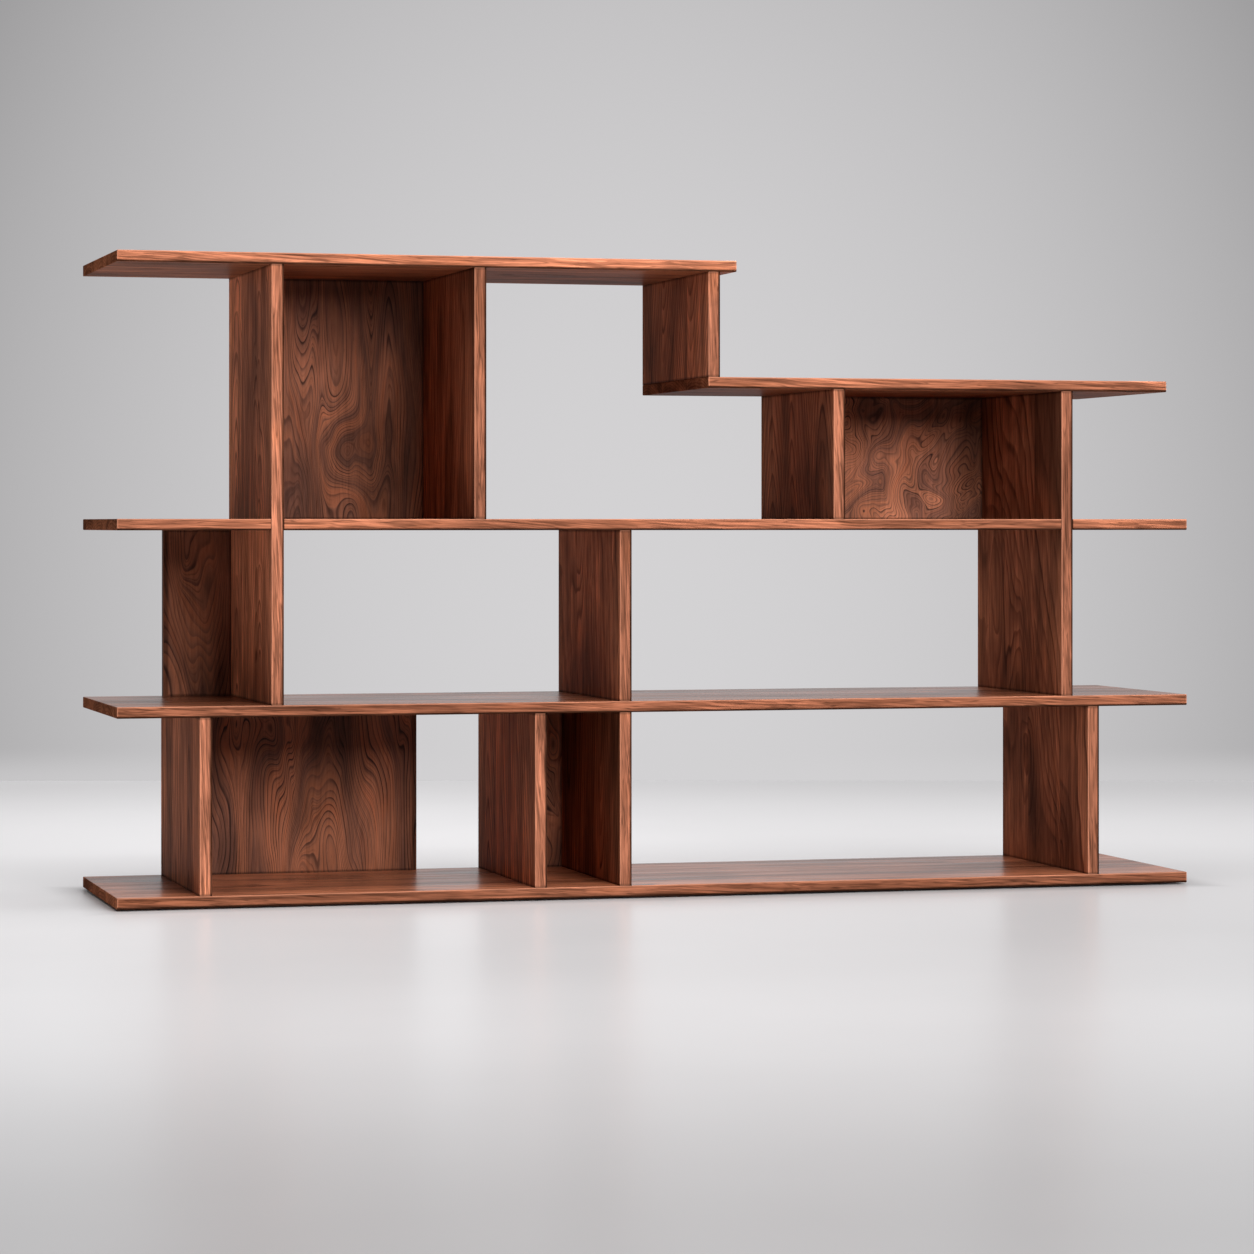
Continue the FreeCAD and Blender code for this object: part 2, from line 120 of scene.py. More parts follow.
class Graph:
    """Adds nodes to one node tree and links them."""

    def __init__(self, tree: bpy.types.NodeTree) -> None:
        """Takes the tree that the nodes go into."""
        self.tree = tree

    def add(self, kind: str, *values: Value, **settings: object) -> bpy.types.Node:
        """Adds a shader node.

        Args:
            kind: its type, such as Math or Bump.
            values: what its inputs are fed, in order.
            settings: properties to set on it.

        Returns:
            The new node.
        """
        node = self.tree.nodes.new(f"ShaderNode{kind}")
        for name, setting in settings.items():
            setattr(node, name, setting)
        for socket, value in zip([s for s in node.inputs if s.enabled], values):
            self.feed(socket, value)
        return node

    def feed(self, socket: Socket, value: Value) -> None:
        """Links a socket to an output, or sets it to a plain value.

        Args:
            socket: the input that is fed.
            value: an output socket, a number, a vector or a colour.
        """
        if isinstance(value, Socket):
            self.tree.links.new(value, socket)
        elif socket.type == "RGBA" and len(value) == len(UP):
            socket.default_value = (*value, 1.0)
        else:
            socket.default_value = value

    def fill(self, node: bpy.types.Node, **values: Value) -> None:
        """Feeds a node's inputs by name, with underscores for spaces."""
        for label, value in values.items():
            self.feed(node.inputs[label.replace("_", " ")], value)

    def math(self, operation: str, *values: Value, clamp: bool = False) -> Socket:
        """Adds a math node and gives its result, which can be clamped from 0 to 1."""
        return self.add("Math", *values, operation=operation, use_clamp=clamp).outputs[0]

    def plus(self, first: Value, second: Value) -> Socket:
        """Adds two numbers."""
        return self.math("ADD", first, second)

    def minus(self, first: Value, second: Value) -> Socket:
        """Takes the second number from the first."""
        return self.math("SUBTRACT", first, second)

    def ramp(self, value: Value, slope: Value, start: Value) -> Socket:
        """Multiplies a number by a slope and adds a start."""
        return self.math("MULTIPLY_ADD", value, slope, start)

    def times(self, first: Value, *others: Value) -> Socket:
        """Multiplies numbers.

        Args:
            first: the first number.
            others: what it is multiplied by, in turn.

        Returns:
            The product's socket.
        """
        for other in others:
            first = self.math("MULTIPLY", first, other)
        return first

    def vector(self, operation: str, *values: Value) -> Socket:
        """Adds a vector math node and gives its result, a number for a length or a dot product."""
        node = self.add("VectorMath", *values, operation=operation)
        return node.outputs["Value" if operation in ("LENGTH", "DOT_PRODUCT") else "Vector"]

    def split(self, vector: Value) -> list[Socket]:
        """Splits a vector into its three parts."""
        return list(self.add("SeparateXYZ", vector).outputs)

    def join(self, *parts: Value) -> Socket:
        """Joins three numbers to a vector."""
        return self.add("CombineXYZ", *parts).outputs[0]

    def grey(self, value: Value) -> Socket:
        """Makes a grey of a number."""
        return self.join(value, value, value)

    def noise(
        self, place: Value, scale: Value, seed: Value, detail: float = 2.0, twist: Value = 0.0
    ) -> Sockets:
        """Adds seeded noise.

        Args:
            place: the place in metres.
            scale: how closely the noise repeats along the three axes, per metre.
            seed: the fourth coordinate.
            detail: the number of octaves.
            twist: how much the noise swirls.

        Returns:
            The noise's outputs, Fac and Color.
        """
        node = self.add("TexNoise", noise_dimensions="4D")
        spread = self.vector("MULTIPLY", place, scale)
        self.fill(node, Vector=spread, W=seed, Scale=1.0, Detail=detail, Distortion=twist)
        return node.outputs

    def wander(self, noise: Sockets) -> Socket:
        """Gives a noise's colour as a vector that wanders about zero."""
        return self.vector("SUBTRACT", noise["Color"], (HALF, HALF, HALF))

    def fade(
        self, value: Value, low: Value, high: Value, start: Value = 0.0, end: Value = 1.0
    ) -> Socket:
        """Maps a number smoothly from the range low to high to the range start to end, and clamps it."""
        ends = (low, high, start, end)
        return self.add("MapRange", value, *ends, interpolation_type="SMOOTHSTEP").outputs[0]

    def dim(self, value: Value, mask: Value, loss: Value) -> Socket:
        """Lessens a number under a mask, by the share loss where the mask is 1."""
        return self.times(value, self.minus(1.0, self.times(mask, loss)))

    def blend(self, share: Value, first: Value, second: Value, how: str = "MIX") -> Socket:
        """Blends a share of the second colour with the first."""
        node = self.add("Mix", share, first, second, data_type="RGBA", blend_type=how)
        return next(socket for socket in node.outputs if socket.enabled)


class ShaderGroup:
    """A node group that several materials share."""

    def __init__(self, name: str, outputs: dict[str, str], **inputs: tuple[str, ...]) -> None:
        """Makes an empty group.

        Args:
            name: the group's name.
            outputs: each output's name and kind, such as Float or Color.
            inputs: the names of the inputs of each kind.
        """
        self.tree = bpy.data.node_groups.new(name, "ShaderNodeTree")
        sockets = [("OUTPUT", label, kind) for label, kind in outputs.items()]
        sockets += [("INPUT", label, kind) for kind, labels in inputs.items() for label in labels]
        for in_out, label, kind in sockets:
            self.tree.interface.new_socket(label, in_out=in_out, socket_type=f"NodeSocket{kind}")
        self.graph = Graph(self.tree)
        self.into = self.tree.nodes.new("NodeGroupInput").outputs
        self.out = self.tree.nodes.new("NodeGroupOutput")

    def give(self, **results: Value) -> None:
        """Links results to the group's outputs, by name with underscores for spaces."""
        self.graph.fill(self.out, **results)

    def place(self, graph: Graph, **values: Value) -> Sockets:
        """Places the group in a material.

        Args:
            graph: the material's graph.
            values: the group's inputs, by name with underscores for spaces.

        Returns:
            The placed group's outputs.
        """
        node = graph.add("Group", node_tree=self.tree)
        graph.fill(node, **values)
        return node.outputs


class KnotGroup(ShaderGroup):
    """A soft ragged hill, which lifts the growth rings round a knot or darkens a cloud."""

    RAGGED_SCALE = (0.8, 0.8, 0.8)
    RAGGED = (0.9, 0.9, 0.0)

    def __init__(self) -> None:
        """Builds the group."""
        vectors, numbers = ("Place", "Centre", "Reach"), ("Rise", "Seed")
        super().__init__("Knot", {"Rise": "Float"}, Vector=vectors, Float=numbers)
        g, into = self.graph, self.into
        near = g.vector("DIVIDE", g.vector("SUBTRACT", into["Place"], into["Centre"]), into["Reach"])
        shake = g.wander(g.noise(near, self.RAGGED_SCALE, into["Seed"], SMOOTH_OCTAVES))
        away = g.vector("LENGTH", g.vector("MULTIPLY_ADD", shake, self.RAGGED, near))
        fall = g.math("EXPONENT", g.times(away, away, -1.0))
        self.give(Rise=g.times(fall, into["Rise"]))


class EdgeGroup(ShaderGroup):
    """Finds a board's eased edges, sawn ends, jointed ends and narrow faces, which carry a painted
    highlight and painted shade.
    """

    END = (-0.0009, -0.0002)
    JOINT_LINE_AND_SHADE = (-0.005, -0.0005)
    NARROW = (-0.0016, -0.0006)
    SHADED = (-0.0045, -0.0018)

    def __init__(self) -> None:
        """Builds the group."""
        masks = {label: "Float" for label in ("Edge", "Shaded Edge", "End", "Joint", "Narrow")}
        numbers = ("Band", "Shaded Side", "Tongue")
        super().__init__("Board Edges", masks, Vector=("Place", "Half Size"), Float=numbers)
        g, into = self.graph, self.into
        depth = g.vector("SUBTRACT", g.vector("ABSOLUTE", into["Place"]), into["Half Size"])
        along, across, through = g.split(depth)
        near = [
            g.math("DIVIDE", g.plus(part, into["Band"]), into["Band"], clamp=True)
            for part in (along, across, through)
        ]
        pairs = [g.times(near[a], near[b]) for a, b in ((0, 1), (1, 2), (0, 2))]
        edge = g.math("MAXIMUM", g.math("MAXIMUM", pairs[0], pairs[1]), pairs[2])
        # painted shade: the eased edge on the lower or right side of each narrow face, chosen by Shaded
        # Side
        place = g.times(g.split(into["Place"])[2], into["Shaded Side"])
        narrow = g.fade(across, *self.NARROW)
        behind = g.math("GREATER_THAN", place, 0.0)
        shaded = g.times(narrow, behind, g.fade(through, *self.SHADED))
        # painted shade with a dark joint line: a band along jointed ends and along panel edges that run
        # into grooves
        shoulders = [g.plus(part, into["Tongue"]) for part in (along, across)]
        ends, sides = (g.fade(shoulder, *self.JOINT_LINE_AND_SHADE) for shoulder in shoulders)
        sides = g.times(sides, g.math("GREATER_THAN", into["Tongue"], 0.0))
        # Edge marks the painted highlight on the lit arrises; Shaded Edge marks the painted shade on the
        # lower or right arris
        self.give(
            Edge=g.times(narrow, g.dim(edge, shaded, 1.0)),
            Shaded_Edge=shaded,
            End=g.fade(along, *self.END),
            Joint=g.math("MAXIMUM", ends, sides),
            Narrow=narrow,
        )


class LapGroup(ShaderGroup):
    """Draws the fine dark line round a board that is let into the front half of this one."""

    BAND = 0.0016
    MIDDLE = (-0.001, 0.001)

    def __init__(self) -> None:
        """Builds the group."""
        numbers = ("Centre", "Half Width")
        super().__init__("Lap Line", {"Line": "Float"}, Vector=("Place",), Float=numbers)
        g, into = self.graph, self.into
        along, across, _ = g.split(into["Place"])
        off = g.math("ABSOLUTE", g.minus(along, into["Centre"]))
        off = g.math("ABSOLUTE", g.minus(off, into["Half Width"]))
        line = g.fade(off, 0.0, self.BAND, 1.0, 0.0)
        self.give(Line=g.times(line, g.fade(across, *self.MIDDLE, 1.0, 0.0)))


class TimberGroup(ShaderGroup):
    """Sawn timber: growth rings, fibres and pores on every face of a board."""

    VECTORS = ("Place", "Flow Scale", "Burl Scale", "Patch Scale")
    NUMBERS = (
        "Seed", "Narrow", "Stave Width", "Stray", "Pith Side", "Pith Depth", "Taper", "Flow", "Ripple",
        "Burl", "Burl Twist", "Knots", "Ring Width", "Line", "Line Start", "Hair", "Fibre", "Patch",
    )
    # Front Tint carries painted light on the narrow faces
    COLOURS = ("Early Wood", "Late Wood", "Red Heart", "Dark Heart", "Ring Line", "Front Tint")
    STAVE_START = 20.5
    STAVE_TONE = (0.3, 0.85)
    SEED_SPREAD = 31.0
    BEND_OCTAVES = 1.2
    RIPPLE_SCALE = (9.0, 30.0, 30.0)
    SLANT = 0.04
    BURL_OCTAVES = 0.6
    UNEVEN_SCALE = (0.19, 1.0, 1.0)
    UNEVEN = 3.4
    FAINT_SCALE = (8.0, 20.0, 20.0)
    FAINT_LINE = (0.34, 0.56, 0.25, 1.0)
    FAINT_HAIR = (0.42, 0.62, 0.0)
    RING_STRENGTH = (0.0, 1.0, 0.4, 1.0)
    LINE_FULL = 0.88
    LINE_FALL = (1.0, 0.92)
    HAIR_RATE = 2.7
    HAIR_RISE = (0.5, 0.85)
    HAIR_FALL = (1.0, 0.9)
    SEASON = (0.1, 0.85)
    SEASON_SHARE = 0.6
    BAND_SCALE = (2.6, 0.16, 1.0)
    BAND = (0.42, 0.66)
    BAND_SHARE = 0.75
    ISLAND_SCALE = (8.0, 0.4, 1.0)
    ISLAND_LAYER = 3.0
    ISLAND = (0.5, 0.75)
    ISLAND_SHARE = 0.7
    FIBRE_SCALE = (13.0, 300.0, 380.0)
    STREAK = (0.28, 0.72)
    PORE_SCALE = (70.0, 1500.0, 1500.0)
    PORE = (0.62, 0.72)
    PORE_LOSS = 0.25
    PATCH = (0.3, 0.7)
    PATCH_MIDDLE = 0.45
    FRONT_LINE_LOSS = 0.9
    FRONT_BAND_LOSS = 0.7
    FRONT_FIBRE = 0.55
    PLUME_SCALE = (9.0, 190.0, 240.0)
    PLUME = (0.48, 0.66)
    PLUME_LOSS = 0.4
    THREAD_LEVEL = 0.5
    THREAD = (0.0, 0.05, 1.0, 0.0)
    THREAD_LOSS = 0.5
    SMOKE_SCALE = (4.0, 60.0, 60.0)
    SMOKE = (0.5, 0.7)
    SMOKE_LOSS = 0.3
    ROUGH = 0.32
    ROUGH_PORE = 0.16
    ROUGH_LINE = 0.08
    ROUGH_FIBRE = 0.12
    STREAK_RISE = 0.3
    LINE_RISE = -0.4

    def __init__(self) -> None:
        """Builds the group."""
        results = {"Colour": "Color", "Roughness": "Float", "Height": "Float", "Sheen": "Float"}
        kinds = {"Vector": self.VECTORS, "Float": self.NUMBERS, "Color": self.COLOURS}
        super().__init__("Timber", results, **kinds)
        self.along, self.across, self.through = self.graph.split(self.into["Place"])
        self.stave()
        self.bend()
        self.ring()
        self.mark()
        colour = self.colour()
        self.give(Colour=colour, Roughness=self.roughness(), Height=self.height(), Sheen=self.patch)

    def stave(self) -> None:
        """Divides the board into glued staves, each with its own seed and chances."""
        g, into = self.graph, self.into
        count = g.plus(g.math("DIVIDE", self.across, into["Stave Width"]), self.STAVE_START)
        stave = g.join(g.math("FLOOR", count), into["Seed"], 0.0)
        lot = g.add("TexWhiteNoise", stave, noise_dimensions="2D")
        self.chance = g.split(lot.outputs["Color"])
        self.seed = g.ramp(lot.outputs["Value"], self.SEED_SPREAD, into["Seed"])
        middle = g.minus(g.math("FRACT", count), HALF)
        self.local = g.times(middle, into["Stave Width"])

    def bend(self) -> None:
        """Lets the grain wander from straight, in slow bends and quick ripples."""
        g, into = self.graph, self.into
        slow = g.wander(g.noise(into["Place"], into["Flow Scale"], self.seed, self.BEND_OCTAVES))
        quick = g.wander(g.noise(into["Place"], self.RIPPLE_SCALE, self.seed, SMOOTH_OCTAVES))
        bends = g.vector("MULTIPLY", slow, g.grey(into["Flow"]))
        _, self.sway, self.dip = g.split(g.vector("MULTIPLY_ADD", quick, g.grey(into["Ripple"]), bends))
        slant = g.ramp(self.along, self.SLANT, g.plus(self.through, self.dip))
        self.grain = g.join(self.along, g.plus(self.across, self.sway), slant)

    def ring(self) -> None:
        """Counts the growth rings from the pith, which each stave has in its own place."""
        g, into = self.graph, self.into
        stray = g.times(g.minus(self.chance[0], HALF), into["Stray"])
        side = g.minus(self.local, into["Pith Side"])
        side = g.plus(side, g.plus(stray, self.sway))
        deep = g.plus(g.plus(self.through, into["Pith Depth"]), self.dip)
        radius = g.vector("LENGTH", g.join(side, deep, 0.0))
        taper = g.times(into["Taper"], g.plus(self.chance[2], HALF))
        radius = g.plus(g.ramp(self.along, taper, radius), into["Knots"])
        twist = into["Burl Twist"]
        burl = g.noise(into["Place"], into["Burl Scale"], into["Seed"], self.BURL_OCTAVES, twist)
        burl = g.minus(burl["Fac"], HALF)
        radius = g.ramp(burl, into["Burl"], radius)
        rings = g.math("DIVIDE", radius, into["Ring Width"])
        uneven = g.noise(g.join(rings, self.seed, 0.0), self.UNEVEN_SCALE, self.seed)
        self.rings = g.ramp(uneven["Fac"], self.UNEVEN, rings)

    def mark(self) -> None:
        """Finds the dark lines, the late wood, the dark and red heart, the fibres and the open pores."""
        g, into = self.graph, self.into
        phase = g.math("FRACT", self.rings)
        faint = g.split(g.noise(into["Place"], self.FAINT_SCALE, self.seed)["Color"])
        ring = g.join(g.math("FLOOR", self.rings), self.seed, 0.0)
        lot = g.add("TexWhiteNoise", ring, noise_dimensions="2D")
        line = g.times(
            g.fade(phase, into["Line Start"], self.LINE_FULL),
            g.fade(phase, *self.LINE_FALL),
            g.fade(lot.outputs["Value"], *self.RING_STRENGTH),
            g.fade(faint[0], *self.FAINT_LINE),
        )
        between = g.math("FRACT", g.times(self.rings, self.HAIR_RATE))
        hair = g.times(
            g.fade(between, *self.HAIR_RISE),
            g.fade(between, *self.HAIR_FALL),
            g.fade(faint[1], *self.FAINT_HAIR, into["Hair"]),
        )
        self.line = g.dim(g.math("MAXIMUM", line, hair), into["Narrow"], self.FRONT_LINE_LOSS)
        self.season = g.dim(g.fade(phase, *self.SEASON), into["Narrow"], self.FRONT_BAND_LOSS)
        band = g.noise(g.join(self.along, self.rings, 0.0), self.BAND_SCALE, self.seed, FINE_OCTAVES)
        band = g.fade(band["Fac"], *self.BAND)
        self.band = g.dim(band, into["Narrow"], self.FRONT_BAND_LOSS)
        layer = g.join(self.along, self.rings, self.ISLAND_LAYER)
        island = g.noise(layer, self.ISLAND_SCALE, self.seed)
        self.red = g.fade(island["Fac"], *self.ISLAND)
        self.fibre = g.noise(self.grain, self.FIBRE_SCALE, self.seed, FINE_OCTAVES)["Fac"]
        self.streak = g.minus(g.fade(self.fibre, *self.STREAK), HALF)
        pore = g.noise(self.grain, self.PORE_SCALE, self.seed, SMOOTH_OCTAVES)
        self.pore = g.fade(pore["Fac"], *self.PORE)

    def colour(self) -> Socket:
        """Colours the wood.

        Returns:
            The colour's socket.
        """
        g, into = self.graph, self.into
        colour = into["Early Wood"]
        for mask, share, label in (
            (self.season, self.SEASON_SHARE, "Late Wood"),
            (self.red, self.ISLAND_SHARE, "Red Heart"),
            (self.band, self.BAND_SHARE, "Dark Heart"),
            (self.line, into["Line"], "Ring Line"),
        ):
            colour = g.blend(g.times(mask, share), colour, into[label])
        colour = g.blend(1.0, colour, g.grey(self.tone()), "MULTIPLY")
        # painted light: the narrow faces, which face the key lamp, are multiplied by each board's front
        # tint
        return g.blend(into["Narrow"], colour, into["Front Tint"], "MULTIPLY")

    def tone(self) -> Socket:
        """Darkens and lightens the wood in fibres, patches and pores, and in threads on narrow faces.

        Returns:
            The socket of what the colour is multiplied by.
        """
        g, into = self.graph, self.into
        gain = g.ramp(into["Narrow"], self.FRONT_FIBRE, 1.0)
        tone = g.ramp(self.streak, g.times(into["Fibre"], gain), 1.0)
        plume = g.noise(self.grain, self.PLUME_SCALE, self.seed, SMOOTH_OCTAVES)["Fac"]
        smoke = g.noise(self.grain, self.SMOKE_SCALE, self.seed)["Fac"]
        rim = g.math("ABSOLUTE", g.minus(plume, self.THREAD_LEVEL))
        for mask, loss in (
            (g.fade(plume, *self.PLUME), self.PLUME_LOSS),
            (g.fade(smoke, *self.SMOKE), self.SMOKE_LOSS),
            (g.fade(rim, *self.THREAD), self.THREAD_LOSS),
        ):
            tone = g.dim(tone, g.times(mask, into["Narrow"]), loss)
        stave = g.ramp(self.chance[1], *self.STAVE_TONE)
        level = g.join(self.along, g.plus(self.across, self.sway), self.through)
        patch = g.noise(level, into["Patch Scale"], self.seed)
        self.patch = g.fade(patch["Fac"], *self.PATCH)
        cloud = g.minus(self.patch, self.PATCH_MIDDLE)
        tone = g.times(tone, stave, g.ramp(cloud, into["Patch"], 1.0))
        return g.dim(tone, self.pore, self.PORE_LOSS)

    def roughness(self) -> Socket:
        """Roughens the open pores, the dark lines and the fibres.

        Returns:
            The roughness socket.
        """
        pores = self.graph.ramp(self.pore, self.ROUGH_PORE, self.ROUGH)
        lines = self.graph.ramp(self.line, self.ROUGH_LINE, pores)
        return self.graph.ramp(self.fibre, self.ROUGH_FIBRE, lines)

    def height(self) -> Socket:
        """Sinks the pores and the dark lines a little."""
        fibres = self.graph.times(self.streak, self.STREAK_RISE)
        return self.graph.ramp(self.line, self.LINE_RISE, self.graph.minus(fibres, self.pore))


class Workshop:
    """The shader groups that the finishes share."""

    def __init__(self) -> None:
        """Builds the groups."""
        self.knot = KnotGroup()
        self.edges = EdgeGroup()
        self.lap = LapGroup()
        self.timber = TimberGroup()


def start_material(name: str) -> tuple[bpy.types.Material, Graph, bpy.types.Node]:
    """Starts a material.

    Args:
        name: the material's name.

    Returns:
        The material, its graph and its Principled BSDF.
    """
    material = bpy.data.materials.new(name)
    material.use_nodes = True
    return material, Graph(material.node_tree), material.node_tree.nodes["Principled BSDF"]


def turned_place(g: Graph, cut: Cut, middle: Value) -> Socket:
    """Reads the place on a board from its middle, along, across and through its grain."""
    parts = g.split(g.vector("SUBTRACT", g.add("TexCoord").outputs["Object"], middle))
    return g.join(*(parts["XYZ".index(axis)] for axis in cut.value))


def give_material(piece: bpy.types.Object, material: bpy.types.Material) -> None:
    """Puts a material in a piece's slots in place of what is there."""
    piece.data.materials.clear()
    piece.data.materials.append(material)


def timber_inputs(
    finish: "WalnutFinish | BeechFinish", tint: Colour = WHITE, shade: float = 1.0
) -> dict[str, Value]:
    """Gathers what the timber group takes from the finish of a wood.

    Args:
        finish: the finish.
        tint: what its colours are multiplied by.
        shade: how pale it is, partly painted light.

    Returns:
        The inputs by name.
    """
    values = {name.title(): getattr(finish, name) for name in WOOD_NUMBERS}
    for name in WOOD_COLOURS:
        pairs = zip(getattr(finish, name), tint)
        values[name.title()] = tuple(part * tinge * shade for part, tinge in pairs)
    return values


@dataclass(frozen=True)
class WalnutFinish:
    """Oiled walnut, its colours as linear light."""

    early_wood: Colour = (0.36, 0.126, 0.062)
    late_wood: Colour = (0.22, 0.073, 0.035)
    red_heart: Colour = (0.4, 0.128, 0.055)
    dark_heart: Colour = (0.085, 0.03, 0.017)
    ring_line: Colour = (0.028, 0.01, 0.007)
    # painted highlight, with a little wear, on the lit eased arrises
    worn_edge_highlight: Colour = (0.72, 0.3, 0.18)
    tint: Colour = WHITE
    # painted light, lighter and bluer, on the narrow faces
    front_painted_light: Colour = (1.19, 1.215, 1.32)
    edge_highlight_and_wear: float = 0.6
    edge_band: float = 0.0026
    shaded_side: float = 0.0
    shaded_loss: float = 0.85
    end_loss: float = 0.05
    end_rough: float = 0.4
    joint_line_and_shade_loss: float = 0.0
    tongue: float = 0.0
    lap_loss: float = 0.75
    shine: float = 0.0
    polish: float = 0.0
    polish_rough: float = 0.26
    polish_grain: float = 0.28
    polish_slope: Pair = (0.6, 0.95)
    stave_width: float = 0.15
    ring_width: float = 0.0065
    flow_scale: Triple = (1.7, 6.0, 6.0)
    flow: float = 0.1
    ripple: float = 0.006
    line: float = 0.7
    line_start: float = 0.62
    hair: float = 0.0
    fibre: float = 0.6
    patch: float = 0.5
    patch_scale: Triple = (3.0, 42.0, 30.0)
    relief: float = 0.00012
    relief_strength: float = 0.5

    def dress(self, node: bpy.types.Object, cut: Cut, figure: Figure, shop: Workshop) -> None:
        """Gives a board its walnut.

        Args:
            node: the board.
            cut: how the board is cut.
            figure: where the board lay in the tree.
            shop: the shared shader groups.
        """
        low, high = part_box(node.name)
        half = (high - low) / 2
        material, g, shader = start_material(f"walnut_{node.name}")
        place = turned_place(g, cut, (low + high) / 2)
        half_size = tuple(half["XYZ".index(axis)] for axis in cut.value)
        edges = shop.edges.place(
            g, Place=place, Half_Size=half_size, Band=self.edge_band, Shaded_Side=self.shaded_side,
            Tongue=self.tongue,
        )
        wood = self.saw(g, place, edges["Narrow"], figure, shop)
        # painted highlight, with a little wear: the lit eased arrises of the narrow faces are made paler
        highlight_and_wear = g.times(edges["Edge"], self.edge_highlight_and_wear)
        colour = g.blend(highlight_and_wear, wood["Colour"], self.worn_edge_highlight)
        # darker sawn ends, and painted shade with a dark joint line along jointed ends
        tone = g.dim(g.dim(1.0, edges["End"], self.end_loss), edges["Joint"], self.joint_line_and_shade_loss)
        # painted shade along the lower or right arris of the narrow faces
        tone = g.dim(tone, edges["Shaded Edge"], self.shaded_loss)
        for number, cloud in enumerate(figure.clouds):
            tone = g.dim(tone, self.swirl(g, place, cloud, figure.seed - number, shop), 1.0)
        for name in figure.crossed_by:
            left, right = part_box(name)
            centre = ((left + right - low - high) / 2).x
            lap = shop.lap.place(g, Place=place, Centre=centre, Half_Width=(right - left).x / 2)
            tone = g.dim(tone, lap["Line"], self.lap_loss)
        upward = g.split(g.add("NewGeometry").outputs["Normal"])[2]
        closed = g.fade(wood["Sheen"], 0.0, 1.0, 1.0 - self.polish_grain, 1.0)
        polished = g.fade(upward, *self.polish_slope, 0.0, self.polish)
        bump = g.add("Bump")
        g.fill(bump, Strength=self.relief_strength, Distance=self.relief, Height=wood["Height"])
        g.fill(
            shader,
            Base_Color=g.blend(1.0, colour, g.grey(tone), "MULTIPLY"),
            Roughness=g.ramp(edges["End"], self.end_rough, wood["Roughness"]),
            Specular_IOR_Level=self.shine,
            Coat_Roughness=self.polish_rough,
            Coat_Weight=g.times(closed, polished),
            Normal=bump.outputs[0],
        )
        give_material(node, material)
        LOG.info("dressed %s", node.name)

    def swirl(self, g: Graph, place: Socket, knot: Knot, seed: float, shop: Workshop) -> Socket:
        """Raises a soft ragged hill over a knot or a cloud.

        Args:
            g: the material's graph.
            place: the place on the board.
            knot: where the hill is, and how high.
            seed: the seed of its ragged edge.
            shop: the shared shader groups.

        Returns:
            The height's socket.
        """
        centre, reach = (knot.along, knot.across, 0.0), (knot.length, knot.width, 1.0)
        return shop.knot.place(g, Place=place, Centre=centre, Reach=reach, Rise=knot.rise, Seed=seed)[0]

    def saw(
        self, g: Graph, place: Socket, narrow: Socket, figure: Figure, shop: Workshop
    ) -> Sockets:
        """Saws a board's pattern from the tree.

        Args:
            g: the material's graph.
            place: the place on the board.
            narrow: the mask of its narrow faces.
            figure: where the board lay in the tree.
            shop: the shared shader groups.

        Returns:
            The outputs Colour, Roughness, Height and Sheen.
        """
        lift: Value = 0.0
        for number, knot in enumerate(figure.knots):
            lift = g.plus(self.swirl(g, place, knot, figure.seed + number, shop), lift)
        values = timber_inputs(self, self.tint, figure.shade)
        values |= {name.title(): getattr(figure, name) for name in FIGURE_NUMBERS}
        values["Flow"] = self.flow * figure.warp
        values["Ring_Width"] = self.ring_width * figure.rings
        # painted light on the narrow faces, set per board
        front = tuple(part * figure.front for part in self.front_painted_light)
        return shop.timber.place(
            g, Place=place, Narrow=narrow, Knots=lift, Hair=self.hair, Front_Tint=front, **values
        )


@dataclass(frozen=True)
class BeechFinish:
    """Planed beech, pale and plain, its colours as linear light."""

    early_wood: Colour = (0.56, 0.37, 0.21)
    late_wood: Colour = (0.47, 0.29, 0.155)
    red_heart: Colour = (0.55, 0.33, 0.18)
    dark_heart: Colour = (0.42, 0.26, 0.14)
    ring_line: Colour = (0.32, 0.18, 0.09)
    ring_width: float = 0.003
    pith_depth: float = 0.09
    flow_scale: Triple = (4.0, 12.0, 12.0)
    flow: float = 0.02
    ripple: float = 0.001
    line: float = 0.35
    line_start: float = 0.6
    fibre: float = 0.3
    patch: float = 0.2
    patch_scale: Triple = (6.0, 40.0, 40.0)
    stave_width: float = 2.0
    seed: float = 71.0
    roughness_gain: float = 0.15

    def material(self, shop: Workshop) -> bpy.types.Material:
        """Makes the beech.

        Args:
            shop: the shared shader groups.

        Returns:
            The material.
        """
        material, g, shader = start_material("beech_tenon")
        place = turned_place(g, Cut.UPRIGHT, (0.0, 0.0, 0.0))
        wood = shop.timber.place(
            g, Place=place, Seed=self.seed, Pith_Depth=self.pith_depth, **timber_inputs(self)
        )
        rough = g.plus(wood["Roughness"], self.roughness_gain)
        g.fill(shader, Base_Color=wood["Colour"], Roughness=rough)
        return material


